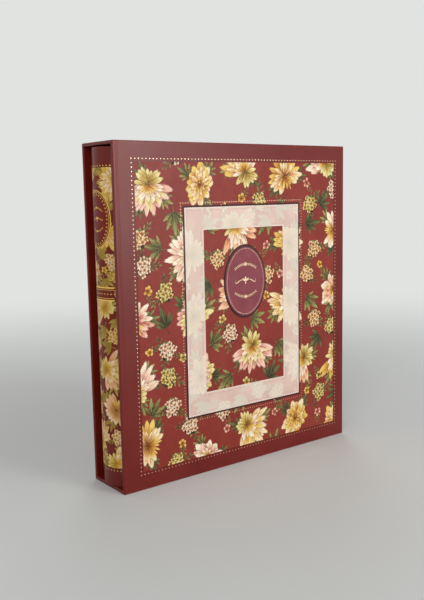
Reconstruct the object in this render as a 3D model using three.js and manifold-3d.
// Scrapbook album in a slipcase.
// Units are millimetres and +Z is up. The slipcase stands upright with its mouth towards -X
// and its decorated face towards -Y. The post-bound album stands inside it and slides out
// through the mouth, spine first.
//
// Inside this file x = 0 is the plane of the mouth, y = 0 the middle plane between the two
// faces and z = 0 the surface that the slipcase stands on. The last lines move the whole
// object so that its origin is the bottom centre of its bounding box.

import * as THREE from 'three';
import { RoundedBoxGeometry } from 'three/addons/geometries/RoundedBoxGeometry.js';
import { mergeVertices } from 'three/addons/utils/BufferGeometryUtils.js';
import Module from 'manifold-3d';

const wasm = await Module();
wasm.setup();

// Slipcase: outside sizes, over the covering
const CASE_HEIGHT = 335;
const CASE_WIDTH = 300;
const CASE_DEPTH = 58;
const CASE_BOARD = 2.4;
const CASE_LINING = 0.5;
const CASE_EDGE_RADIUS = 1;
const CASE_TURN_IN = 15;
const STRIP_MARGIN = 2;

// Leatherette covering of the slipcase and of the album
const COVERING = 0.5;

// Decorated face of the slipcase: a sunk print panel, a raised veil frame and an oval label
const PANEL_THICKNESS = 0.3;
const PANEL_MARGIN_MOUTH = 22;
const PANEL_MARGIN_END = 16;
const PANEL_MARGIN_TOP = 19;
const PANEL_MARGIN_BOTTOM = 18;
const VEIL_THICKNESS = 0.4;
const VEIL_WIDTH = 151;
const VEIL_HEIGHT = 210;
const VEIL_BORDER = 22.5;
const LABEL_THICKNESS = 0.8;
const LABEL_WIDTH = 55;
const LABEL_HEIGHT = 74.5;
const LABEL_RISE = 27;

// Play between the album and the slipcase
const PLAY_SIDE = 0.5;
const PLAY_TOP = 1.6;
const PLAY_END = 0.6;
const PLAY_FOOT = 0.3;

// Album cover
const COVER_BOARD = 2.4;
const COVER_TURN_IN = 12;
const PASTEDOWN_THICKNESS = 0.3;
const EDGE_CORNER_RADIUS = 0.5;

// Rounded spine of the album and the joint grooves beside it
const SPINE_PROUD = 2;
const SPINE_BOARD = 1.8;
const SPINE_HALF_ANGLE = 46;
const JOINT_WIDTH = 3.9;
const JOINT_DEPTH = 3.2;
const COVER_EDGE_SETBACK = 0.7;
const SPINE_LABEL_THICKNESS = 0.3;
const SPINE_LABEL_HALF_ANGLE = 42;
const SPINE_LABEL_MARGIN = 18.5;

// Binding: cloth joints, hinge strips, leaves and screw posts
const CLOTH_THICKNESS = 0.4;
const CLOTH_COVER_LEG = 20;
const HINGE_STRIP_THICKNESS = 1.6;
const HINGE_STRIP_WIDTH = 26;
const BINDING_EDGE_SETBACK = 2;
const LEAF_COUNT = 24;
const LEAF_GUARD = 0.25;
const LEAF_STUB_WIDTH = 24;
const LEAF_SCORE_OFFSET = 3;
const LEAF_SCORE_WIDTH = 2;
const LEAF_SCORE_THICKNESS = 0.5;
const COVER_SQUARE = 3.5;
const POST_COUNT = 3;
const POST_OFFSET = 12;
const POST_WALL = 0.6;
const POST_HEAD_RADIUS = 5;
const POST_HEAD_THICKNESS = 0.9;
const POST_HEAD_PLAY = 0.3;
const SCREW_RADIUS = 1.6;
const SCREW_LENGTH = 12;
const SCREW_SPARE_DEPTH = 1.7;
const SCREW_SLOT_WIDTH = 1.2;
const SCREW_SLOT_DEPTH = 0.4;

// Clearance between pieces that seat on curved faces or in sunk places
const FIT = 0.3;
const SUNK_FIT = 0.15;
const LABEL_FIT = 0.1;

// Smoothness of rounded forms
const EDGE_STEPS = 3;
const SPINE_STEPS = 28;
const OVAL_STEPS = 48;
const HOLE_STEPS = 16;
const ROUND_STEPS = 24;
const GROOVE_STEPS = 10;

// Slipcase: planes that the pieces share
const FRONT_FACE = -CASE_DEPTH / 2;
const CASE_SKIN = Math.max(COVERING, CASE_LINING);
const BOARD_OUT = CASE_DEPTH / 2 - COVERING;
const BOARD_IN = BOARD_OUT - CASE_BOARD;
const CAVITY_HALF = BOARD_IN - CASE_SKIN;
const FLOOR_BOARD_LOW = COVERING;
const FLOOR_BOARD_HIGH = COVERING + CASE_BOARD;
const CAVITY_LOW = FLOOR_BOARD_HIGH + CASE_SKIN;
const TOP_BOARD_HIGH = CASE_HEIGHT - COVERING;
const TOP_BOARD_LOW = TOP_BOARD_HIGH - CASE_BOARD;
const CAVITY_HIGH = TOP_BOARD_LOW - CASE_SKIN;
const BOARD_MOUTH = COVERING;
const BOARD_END = CASE_WIDTH - COVERING;
const END_BOARD_IN = BOARD_END - CASE_BOARD;
const CAVITY_END = END_BOARD_IN - CASE_SKIN;

// Album: planes that the pieces share
const COVER_HALF = CAVITY_HALF - PLAY_SIDE;
const COVER_BOARD_OUT = COVER_HALF - COVERING;
const COVER_BOARD_IN = COVER_BOARD_OUT - COVER_BOARD;
const COVER_IN = COVER_BOARD_IN - COVERING;
const ALBUM_LOW = CAVITY_LOW + PLAY_FOOT;
const ALBUM_HIGH = CAVITY_HIGH - PLAY_TOP;
const ALBUM_FORE_EDGE = CAVITY_END - PLAY_END;
const COVER_BOARD_FORE = ALBUM_FORE_EDGE - COVERING;

// The spine is part of a cylinder. Its board ends at the joint grooves, a joint's width
// inside the inner faces of the cover boards.
const HALF_ANGLE = THREE.MathUtils.degToRad(SPINE_HALF_ANGLE);
const SPINE_BOARD_RADIUS = (COVER_BOARD_IN - JOINT_WIDTH) / Math.sin(HALF_ANGLE);
const SPINE_RADIUS = SPINE_BOARD_RADIUS + COVERING;
const SPINE_LABEL_RADIUS = SPINE_RADIUS + LABEL_FIT + SPINE_LABEL_THICKNESS;
const SPINE_AXIS_X = SPINE_LABEL_RADIUS - SPINE_PROUD;
const COVER_EDGE = SPINE_AXIS_X - SPINE_BOARD_RADIUS * Math.cos(HALF_ANGLE) + COVER_EDGE_SETBACK;
const COVER_BOARD_EDGE = COVER_EDGE + COVERING;

// The binding stands behind the grooves
const CLOTH_EDGE = COVER_EDGE + JOINT_DEPTH + FIT;
const BINDING_EDGE = CLOTH_EDGE + BINDING_EDGE_SETBACK;
const POST_X = BINDING_EDGE + POST_OFFSET;
const CLOTH_STRIP_END = POST_X - POST_HEAD_RADIUS - FIT;
const POST_BORE_RADIUS = SCREW_RADIUS + FIT;
const POST_RADIUS = POST_BORE_RADIUS + POST_WALL;
const POST_HEAD_SPACE = POST_HEAD_THICKNESS + POST_HEAD_PLAY;
const STRIP_OUT = COVER_BOARD_IN - 2 * CLOTH_THICKNESS - POST_HEAD_SPACE;
const BLOCK_HALF = STRIP_OUT - HINGE_STRIP_THICKNESS;
const LEAF_PITCH = (2 * BLOCK_HALF) / LEAF_COUNT;
const LEAF_THICKNESS = LEAF_PITCH - 2 * LEAF_GUARD;
const LEAF_LOW = ALBUM_LOW + COVERING + COVER_SQUARE;
const LEAF_HIGH = ALBUM_HIGH - COVERING - COVER_SQUARE;
const LEAF_FORE_EDGE = COVER_BOARD_FORE - COVER_SQUARE;
const WINDOW_LOW = ALBUM_LOW + COVER_TURN_IN;
const WINDOW_HIGH = ALBUM_HIGH - COVER_TURN_IN;

const LEATHERETTE = { color: 0x7d3336, roughness: 0.5, metalness: 0 };
const DARK_LINING = { color: 0x3a1216, roughness: 0.8, metalness: 0 };
const GREYBOARD = { color: 0x9a8f80, roughness: 0.95, metalness: 0 };
const PRINT = { color: 0xa8503f, roughness: 0.45, metalness: 0 };
const VEIL = { color: 0xebcdc3, roughness: 0.5, metalness: 0 };
const LABEL = { color: 0x8e4a55, roughness: 0.45, metalness: 0 };
const ENDPAPER = { color: 0xe9dcc6, roughness: 0.9, metalness: 0 };
const CLOTH = { color: 0x5a2426, roughness: 0.95, metalness: 0 };
const CARD = { color: 0xf1e7d2, roughness: 0.9, metalness: 0 };
const STEEL = { color: 0xb9b6ae, roughness: 0.3, metalness: 1 };

// Geometry helpers

function boxBetween(x0, x1, y0, y1, z0, z1) {
  const box = new THREE.BoxGeometry(1, 1, 1).toNonIndexed();
  const corners = box.attributes.position;
  for (let i = 0; i < corners.count; i++) {
    const x = corners.getX(i) < 0 ? x0 : x1;
    const y = corners.getY(i) < 0 ? y0 : y1;
    const z = corners.getZ(i) < 0 ? z0 : z1;
    corners.setXYZ(i, x, y, z);
  }
  return box;
}

// A plan outline in x and y, raised from z0 to z1
function raise(outline, z0, z1) {
  const prism = new THREE.ExtrudeGeometry(outline, { depth: z1 - z0, bevelEnabled: false });
  prism.translate(0, 0, z0);
  return prism;
}

function polygon(points) {
  return new THREE.Shape(points);
}

function toSolid(geometry) {
  const bare = geometry.clone();
  bare.deleteAttribute('normal');
  bare.deleteAttribute('uv');
  const merged = mergeVertices(bare, 1e-5);
  const vertProperties = new Float32Array(merged.attributes.position.array);
  const triVerts = new Uint32Array(merged.index.array);
  return new wasm.Manifold(new wasm.Mesh({ numProp: 3, vertProperties, triVerts }));
}

function toGeometry(solid) {
  const mesh = solid.getMesh();
  const geometry = new THREE.BufferGeometry();
  geometry.setAttribute('position', new THREE.BufferAttribute(mesh.vertProperties, 3));
  geometry.setIndex(new THREE.BufferAttribute(mesh.triVerts, 1));
  const flat = geometry.toNonIndexed();
  flat.computeVertexNormals();
  return flat;
}

function join(first, ...others) {
  return others.reduce((sum, other) => sum.add(other), first);
}

function cut(first, ...others) {
  return others.reduce((rest, other) => rest.subtract(other), first);
}

function solidBox(x0, x1, y0, y1, z0, z1) {
  return toSolid(boxBetween(x0, x1, y0, y1, z0, z1));
}

// Slipcase

// The block that the slipcase fills, with every outer edge rounded
function caseBlock() {
  const block = new RoundedBoxGeometry(
    CASE_WIDTH, CASE_DEPTH, CASE_HEIGHT, EDGE_STEPS, CASE_EDGE_RADIUS);
  block.translate(CASE_WIDTH / 2, 0, CASE_HEIGHT / 2);
  return toSolid(block);
}

// A closed solid through rings of equally many points, capped at both ends
function skinOf(rings) {
  const count = rings[0].length;
  const points = rings.flat(2);
  const faces = [];
  for (let ring = 0; ring + 1 < rings.length; ring++) {
    for (let i = 0; i < count; i++) {
      const a = ring * count + i;
      const b = ring * count + ((i + 1) % count);
      faces.push(a, b, b + count, a, b + count, a + count);
    }
  }
  const last = (rings.length - 1) * count;
  for (let i = 1; i + 1 < count; i++) {
    faces.push(0, i + 1, i, last, last + i, last + i + 1);
  }
  const geometry = new THREE.BufferGeometry();
  geometry.setAttribute('position', new THREE.Float32BufferAttribute(points, 3));
  geometry.setIndex(faces);
  return toSolid(geometry);
}

// The space inside the slipcase. It flares at the mouth, where the covering turns over the
// edges of the boards in a small round.
function caseCavity() {
  const r = CASE_EDGE_RADIUS;
  const rings = [];
  const ring = (x, flare) => {
    const half = CAVITY_HALF + flare;
    const low = CAVITY_LOW - flare;
    const high = CAVITY_HIGH + flare;
    rings.push([[x, -half, low], [x, half, low], [x, half, high], [x, -half, high]]);
  };
  ring(-r, r);
  for (let i = 0; i <= EDGE_STEPS; i++) {
    const a = ((Math.PI / 2) * i) / EDGE_STEPS;
    ring(r * (1 - Math.cos(a)), r * (1 - Math.sin(a)));
  }
  ring(CAVITY_END, 0);
  return skinOf(rings);
}

const caseBoards = {
  case_front_board: () => boxBetween(
    BOARD_MOUTH, BOARD_END, -BOARD_OUT, -BOARD_IN, FLOOR_BOARD_LOW, TOP_BOARD_HIGH),
  case_back_board: () => boxBetween(
    BOARD_MOUTH, BOARD_END, BOARD_IN, BOARD_OUT, FLOOR_BOARD_LOW, TOP_BOARD_HIGH),
  case_top_board: () => boxBetween(
    BOARD_MOUTH, BOARD_END, -BOARD_IN, BOARD_IN, TOP_BOARD_LOW, TOP_BOARD_HIGH),
  case_bottom_board: () => boxBetween(
    BOARD_MOUTH, BOARD_END, -BOARD_IN, BOARD_IN, FLOOR_BOARD_LOW, FLOOR_BOARD_HIGH),
  case_end_board: () => boxBetween(
    END_BOARD_IN, BOARD_END, -BOARD_IN, BOARD_IN, FLOOR_BOARD_HIGH, TOP_BOARD_LOW),
};

// The covering round the whole slipcase: the block without its cavity and without the space
// of the boards, which opens into the cavity behind the turned-in edge of the covering
function caseCovering() {
  const boards = solidBox(
    BOARD_MOUTH, BOARD_END, -BOARD_OUT, BOARD_OUT, FLOOR_BOARD_LOW, TOP_BOARD_HIGH);
  const turnIn = solidBox(
    -CASE_EDGE_RADIUS, CASE_TURN_IN, -BOARD_IN, BOARD_IN, FLOOR_BOARD_HIGH, TOP_BOARD_LOW);
  return cut(caseBlock(), cut(boards, turnIn), caseCavity());
}

// The side covering goes round front, closed end and back and folds over their edges. The
// strips on the top and the bottom board stop a little inside those edges and turn in at the
// mouth.
function stripSpace(z0, z1) {
  const side = CASE_DEPTH / 2 - STRIP_MARGIN;
  return solidBox(-CASE_EDGE_RADIUS, CASE_WIDTH - STRIP_MARGIN, -side, side, z0, z1);
}

const LOWER_STRIP = stripSpace(-CASE_EDGE_RADIUS, CAVITY_LOW);
const UPPER_STRIP = stripSpace(CAVITY_HIGH, CASE_HEIGHT + CASE_EDGE_RADIUS);

function caseBottomStrip() {
  return toGeometry(caseCovering().intersect(LOWER_STRIP));
}

function caseTopStrip() {
  return toGeometry(caseCovering().intersect(UPPER_STRIP));
}

// Outline of the sunk panel on the decorated face, in x and z
function panelOutline(inset) {
  const left = PANEL_MARGIN_MOUTH + inset;
  const right = CASE_WIDTH - PANEL_MARGIN_END - inset;
  const low = PANEL_MARGIN_BOTTOM + inset;
  const high = CASE_HEIGHT - PANEL_MARGIN_TOP - inset;
  return [left, right, low, high];
}

function caseSideWrap() {
  const [left, right, low, high] = panelOutline(0);
  const sunk = solidBox(
    left, right, FRONT_FACE - PANEL_THICKNESS, FRONT_FACE + PANEL_THICKNESS, low, high);
  return toGeometry(cut(caseCovering(), LOWER_STRIP, UPPER_STRIP, sunk));
}

function caseLining() {
  const start = CASE_TURN_IN + FIT;
  const outer = solidBox(
    start, END_BOARD_IN, -BOARD_IN, BOARD_IN, FLOOR_BOARD_HIGH, TOP_BOARD_LOW);
  const t = CASE_LINING;
  const inner = solidBox(start - 1, END_BOARD_IN - t, -BOARD_IN + t, BOARD_IN - t,
    FLOOR_BOARD_HIGH + t, TOP_BOARD_LOW - t);
  return toGeometry(cut(outer, inner));
}

// Decorated face

const PANEL_CENTRE_X = (PANEL_MARGIN_MOUTH + CASE_WIDTH - PANEL_MARGIN_END) / 2;
const PANEL_CENTRE_Z = (PANEL_MARGIN_BOTTOM + CASE_HEIGHT - PANEL_MARGIN_TOP) / 2;

function floralPanel() {
  const [left, right, low, high] = panelOutline(SUNK_FIT);
  return boxBetween(left, right, FRONT_FACE, FRONT_FACE + PANEL_THICKNESS, low, high);
}

function veilFrame() {
  const y0 = FRONT_FACE - VEIL_THICKNESS;
  const frame = (width, height, front, back) => solidBox(
    PANEL_CENTRE_X - width / 2, PANEL_CENTRE_X + width / 2, front, back,
    PANEL_CENTRE_Z - height / 2, PANEL_CENTRE_Z + height / 2);
  const outer = frame(VEIL_WIDTH, VEIL_HEIGHT, y0, FRONT_FACE);
  const opening = frame(VEIL_WIDTH - 2 * VEIL_BORDER, VEIL_HEIGHT - 2 * VEIL_BORDER,
    y0 - 1, FRONT_FACE + 1);
  return toGeometry(cut(outer, opening));
}

function ovalLabel() {
  const edge = LABEL_THICKNESS / 2;
  const ellipse = (inset) => {
    const points = [];
    for (let i = 0; i < OVAL_STEPS; i++) {
      const a = (2 * Math.PI * i) / OVAL_STEPS;
      const x = PANEL_CENTRE_X + (LABEL_WIDTH / 2 - inset) * Math.cos(a);
      const z = PANEL_CENTRE_Z + LABEL_RISE + (LABEL_HEIGHT / 2 - inset) * Math.sin(a);
      points.push([x, z]);
    }
    return points;
  };
  const at = (points, y) => points.map(([x, z]) => [x, y, z]);
  return toGeometry(skinOf([
    at(ellipse(0), FRONT_FACE),
    at(ellipse(0), FRONT_FACE - edge),
    at(ellipse(edge), FRONT_FACE - LABEL_THICKNESS),
  ]));
}

// Album cover

function coverBoardGeometry(side) {
  const [y0, y1] = side < 0 ? [-COVER_BOARD_OUT, -COVER_BOARD_IN] : [COVER_BOARD_IN, COVER_BOARD_OUT];
  return boxBetween(COVER_BOARD_EDGE, COVER_BOARD_FORE, y0, y1,
    ALBUM_LOW + COVERING, ALBUM_HIGH - COVERING);
}

// A band of the spine's cylinder in plan, between two radii and out to a half angle
function spineBand(outer, inner, halfAngle) {
  const points = [];
  const arc = (radius, from, to) => {
    for (let i = 0; i <= SPINE_STEPS; i++) {
      const a = from + ((to - from) * i) / SPINE_STEPS;
      const x = SPINE_AXIS_X - radius * Math.cos(a);
      points.push(new THREE.Vector2(x, radius * Math.sin(a)));
    }
  };
  arc(outer, halfAngle, -halfAngle);
  arc(inner, -halfAngle, halfAngle);
  return polygon(points);
}

function spineBoard() {
  const outer = SPINE_BOARD_RADIUS - FIT / 2;
  const fitAngle = FIT / SPINE_BOARD_RADIUS;
  return raise(spineBand(outer, outer - SPINE_BOARD, HALF_ANGLE - fitAngle),
    ALBUM_LOW + COVERING + FIT / 2, ALBUM_HIGH - COVERING - FIT / 2);
}

// The covering's run through one joint groove: it leaves the spine along the curve, dips
// behind the edge of the cover board and comes up along that edge
function grooveRibbon(side) {
  const skin = SPINE_RADIUS - COVERING / 2;
  const run = 1 + JOINT_DEPTH / 2;
  const start = HALF_ANGLE - 0.03;
  const along = new THREE.Vector2(Math.sin(start), Math.cos(start));
  const from = new THREE.Vector2(SPINE_AXIS_X - skin * Math.cos(start), skin * Math.sin(start));
  const to = new THREE.Vector2(COVER_EDGE + COVERING / 2, COVER_BOARD_IN + COVERING / 2);
  const curve = new THREE.CubicBezierCurve(
    from,
    from.clone().addScaledVector(along, run),
    new THREE.Vector2(to.x + JOINT_DEPTH, to.y - COVERING),
    to);
  const left = [];
  const right = [];
  for (let i = 0; i <= GROOVE_STEPS; i++) {
    const u = i / GROOVE_STEPS;
    const point = curve.getPoint(u);
    const tangent = curve.getTangent(u);
    const across = new THREE.Vector2(-tangent.y, tangent.x).multiplyScalar(COVERING / 2);
    left.push(point.clone().add(across));
    right.push(point.clone().sub(across));
  }
  const outline = [...left, ...right.reverse()].map((p) => new THREE.Vector2(p.x, side * p.y));
  return toSolid(raise(polygon(side < 0 ? outline.reverse() : outline), ALBUM_LOW, ALBUM_HIGH));
}

// One side of the cover: the covering folds round the board's four edges and turns in at
// the head, the foot and the fore-edge
function coverSide(side) {
  const between = (a, b) => (side < 0 ? [-b, -a] : [a, b]);
  const [low, high] = between(COVER_IN, COVER_HALF);
  const [windowLow, windowHigh] = between(COVER_IN - 1, COVER_BOARD_IN);
  const block = solidBox(COVER_EDGE, ALBUM_FORE_EDGE, low, high, ALBUM_LOW, ALBUM_HIGH);
  const window = solidBox(COVER_EDGE - 1, ALBUM_FORE_EDGE - COVER_TURN_IN,
    windowLow, windowHigh, WINDOW_LOW, WINDOW_HIGH);
  return cut(roundOuterEdges(block, side), toSolid(coverBoardGeometry(side)), window);
}

// The long outer corners of one cover side are eased along the spine and the fore-edge
function roundOuterEdges(block, side) {
  const r = EDGE_CORNER_RADIUS;
  const corner = (x, inward) => {
    const points = [
      new THREE.Vector2(x - inward, side * (COVER_HALF + 1)),
      new THREE.Vector2(x + inward * r, side * (COVER_HALF + 1)),
      new THREE.Vector2(x + inward * r, side * COVER_HALF),
      new THREE.Vector2(x, side * (COVER_HALF - r)),
      new THREE.Vector2(x - inward, side * (COVER_HALF - r)),
    ];
    const turn = side * inward < 0 ? points : points.reverse();
    return toSolid(raise(polygon(turn), ALBUM_LOW - 1, ALBUM_HIGH + 1));
  };
  return cut(block, corner(COVER_EDGE, 1), corner(ALBUM_FORE_EDGE, -1));
}

function coverWrap() {
  const pocket = SPINE_BOARD_RADIUS - SPINE_BOARD - FIT;
  const band = toSolid(raise(
    spineBand(SPINE_RADIUS, pocket - COVERING, HALF_ANGLE), ALBUM_LOW, ALBUM_HIGH));
  const boardSpace = toSolid(raise(
    spineBand(SPINE_BOARD_RADIUS, pocket, HALF_ANGLE + 0.1),
    ALBUM_LOW + COVERING, ALBUM_HIGH - COVERING));
  const innerWindow = toSolid(raise(
    spineBand(SPINE_BOARD_RADIUS, pocket - COVERING - 1, HALF_ANGLE + 0.1),
    WINDOW_LOW, WINDOW_HIGH));
  const spine = cut(band, boardSpace, innerWindow);
  const skin = join(spine, grooveRibbon(-1), grooveRibbon(1), coverSide(-1), coverSide(1));
  return toGeometry(cut(
    skin, toSolid(coverBoardGeometry(-1)), toSolid(coverBoardGeometry(1)), boardSpace));
}

function spineLabel() {
  const inner = SPINE_RADIUS + LABEL_FIT;
  return raise(
    spineBand(SPINE_LABEL_RADIUS, inner, THREE.MathUtils.degToRad(SPINE_LABEL_HALF_ANGLE)),
    ALBUM_LOW + SPINE_LABEL_MARGIN, ALBUM_HIGH - SPINE_LABEL_MARGIN);
}

function pastedown(side) {
  const x0 = CLOTH_EDGE + CLOTH_COVER_LEG + FIT;
  const x1 = ALBUM_FORE_EDGE - COVER_TURN_IN - FIT;
  const near = COVER_BOARD_IN - PASTEDOWN_THICKNESS;
  const [y0, y1] = side < 0 ? [-COVER_BOARD_IN, -near] : [near, COVER_BOARD_IN];
  return boxBetween(x0, x1, y0, y1, WINDOW_LOW + FIT, WINDOW_HIGH - FIT);
}

// Binding

// A strip of cloth folded to a U: one leg is glued inside the cover board, the other to the
// outside of the hinge strip, and the fold lets the cover turn
function hingeCloth(side) {
  const t = CLOTH_THICKNESS;
  const corners = [
    [CLOTH_EDGE, COVER_BOARD_IN],
    [CLOTH_EDGE, STRIP_OUT],
    [CLOTH_STRIP_END, STRIP_OUT],
    [CLOTH_STRIP_END, STRIP_OUT + t],
    [CLOTH_EDGE + t, STRIP_OUT + t],
    [CLOTH_EDGE + t, COVER_BOARD_IN - t],
    [CLOTH_EDGE + CLOTH_COVER_LEG, COVER_BOARD_IN - t],
    [CLOTH_EDGE + CLOTH_COVER_LEG, COVER_BOARD_IN],
  ].map(([x, y]) => new THREE.Vector2(x, side * y));
  const outline = polygon(side < 0 ? corners.reverse() : corners);
  return raise(outline, WINDOW_LOW + FIT, WINDOW_HIGH - FIT);
}

const postHeights = Array.from({ length: POST_COUNT }, (_, i) => (
  LEAF_LOW + ((LEAF_HIGH - LEAF_LOW) * (i + 0.5)) / POST_COUNT));

// Holes for the posts, right through the block
function postHoles() {
  const holes = postHeights.map((z) => {
    const hole = new THREE.CylinderGeometry(
      POST_RADIUS + FIT, POST_RADIUS + FIT, 2 * COVER_HALF, HOLE_STEPS);
    hole.translate(POST_X, 0, z);
    return toSolid(hole);
  });
  return join(...holes);
}

const POST_HOLES = postHoles();

function hingeStrip(side) {
  const [y0, y1] = side < 0 ? [-STRIP_OUT, -BLOCK_HALF] : [BLOCK_HALF, STRIP_OUT];
  const strip = solidBox(
    BINDING_EDGE, BINDING_EDGE + HINGE_STRIP_WIDTH, y0, y1, LEAF_LOW, LEAF_HIGH);
  return toGeometry(cut(strip, POST_HOLES));
}

const leafFace = (i) => -BLOCK_HALF + i * LEAF_PITCH;

// A leaf is a sheet of card with guards on both sides of its stub, which keep room for what
// is mounted on the pages, and a scored line beside the stub where it turns
function leaf(index) {
  const front = leafFace(index);
  const back = leafFace(index + 1);
  const middle = (front + back) / 2;
  const page = LEAF_THICKNESS / 2;
  const score = LEAF_SCORE_THICKNESS / 2;
  const stubEnd = BINDING_EDGE + LEAF_STUB_WIDTH;
  const scoreStart = stubEnd + LEAF_SCORE_OFFSET;
  const scoreMiddle = scoreStart + LEAF_SCORE_WIDTH / 2;
  const scoreEnd = scoreStart + LEAF_SCORE_WIDTH;
  const plan = polygon([
    [BINDING_EDGE, front],
    [stubEnd, front],
    [stubEnd, middle - page],
    [scoreStart, middle - page],
    [scoreMiddle, middle - score],
    [scoreEnd, middle - page],
    [LEAF_FORE_EDGE, middle - page],
    [LEAF_FORE_EDGE, middle + page],
    [scoreEnd, middle + page],
    [scoreMiddle, middle + score],
    [scoreStart, middle + page],
    [stubEnd, middle + page],
    [stubEnd, back],
    [BINDING_EDGE, back],
  ].map(([x, y]) => new THREE.Vector2(x, y)));
  return toGeometry(cut(toSolid(raise(plan, LEAF_LOW, LEAF_HIGH)), POST_HOLES));
}

// A turned piece on an axis along y: the profile gives radius and y
function turned(profile, z) {
  const points = profile.map(([radius, y]) => new THREE.Vector2(radius, y));
  const body = new THREE.LatheGeometry(points, ROUND_STEPS);
  body.translate(POST_X, 0, z);
  return body;
}

// The barrel of a screw post comes from the front, with its head on the hinge strip
function postBarrel(z) {
  const tip = STRIP_OUT - FIT;
  const bottom = STRIP_OUT - SCREW_LENGTH - SCREW_SPARE_DEPTH;
  return turned([
    [0, -STRIP_OUT - POST_HEAD_THICKNESS],
    [POST_HEAD_RADIUS - FIT, -STRIP_OUT - POST_HEAD_THICKNESS],
    [POST_HEAD_RADIUS, -STRIP_OUT - POST_HEAD_THICKNESS + FIT],
    [POST_HEAD_RADIUS, -STRIP_OUT],
    [POST_RADIUS, -STRIP_OUT],
    [POST_RADIUS, tip],
    [POST_BORE_RADIUS, tip],
    [POST_BORE_RADIUS, bottom],
    [0, bottom],
  ], z);
}

// The screw closes the post from the back, with a slot across its head
function postScrew(z) {
  const outside = STRIP_OUT + POST_HEAD_THICKNESS;
  const body = toSolid(turned([
    [0, STRIP_OUT - SCREW_LENGTH],
    [SCREW_RADIUS, STRIP_OUT - SCREW_LENGTH],
    [SCREW_RADIUS, STRIP_OUT],
    [POST_HEAD_RADIUS, STRIP_OUT],
    [POST_HEAD_RADIUS, outside - FIT],
    [POST_HEAD_RADIUS - FIT, outside],
    [0, outside],
  ], z));
  const half = SCREW_SLOT_WIDTH / 2;
  const slot = solidBox(POST_X - POST_HEAD_RADIUS, POST_X + POST_HEAD_RADIUS,
    outside - SCREW_SLOT_DEPTH, outside + 1, z - half, z + half);
  return toGeometry(cut(body, slot));
}

// Assembly

const object = new THREE.Group();
object.name = 'scrapbook_album';

function add(group, name, geometry, material) {
  const mesh = new THREE.Mesh(geometry, new THREE.MeshStandardMaterial(material));
  mesh.name = name;
  group.add(mesh);
}

const slipcase = new THREE.Group();
for (const [name, make] of Object.entries(caseBoards)) {
  add(slipcase, name, make(), GREYBOARD);
}
add(slipcase, 'case_bottom_strip', caseBottomStrip(), LEATHERETTE);
add(slipcase, 'case_top_strip', caseTopStrip(), LEATHERETTE);
add(slipcase, 'case_side_wrap', caseSideWrap(), LEATHERETTE);
add(slipcase, 'case_lining', caseLining(), DARK_LINING);
add(slipcase, 'floral_panel', floralPanel(), PRINT);
add(slipcase, 'veil_frame', veilFrame(), VEIL);
add(slipcase, 'oval_label', ovalLabel(), LABEL);

const album = new THREE.Group();
add(album, 'front_cover_board', coverBoardGeometry(-1), GREYBOARD);
add(album, 'back_cover_board', coverBoardGeometry(1), GREYBOARD);
add(album, 'spine_board', spineBoard(), GREYBOARD);
add(album, 'cover_wrap', coverWrap(), LEATHERETTE);
add(album, 'spine_label', spineLabel(), PRINT);
add(album, 'front_pastedown', pastedown(-1), ENDPAPER);
add(album, 'back_pastedown', pastedown(1), ENDPAPER);
add(album, 'front_hinge_cloth', hingeCloth(-1), CLOTH);
add(album, 'back_hinge_cloth', hingeCloth(1), CLOTH);
add(album, 'front_hinge_strip', hingeStrip(-1), GREYBOARD);
add(album, 'back_hinge_strip', hingeStrip(1), GREYBOARD);
postHeights.forEach((z, i) => {
  add(album, `post_barrel_${i + 1}`, postBarrel(z), STEEL);
  add(album, `post_screw_${i + 1}`, postScrew(z), STEEL);
});
for (let i = 0; i < LEAF_COUNT; i++) {
  add(album, `leaf_${String(i + 1).padStart(2, '0')}`, leaf(i), CARD);
}

object.add(slipcase, album);
object.position.set((SPINE_PROUD - CASE_WIDTH) / 2, LABEL_THICKNESS / 2, 0);

export default object;
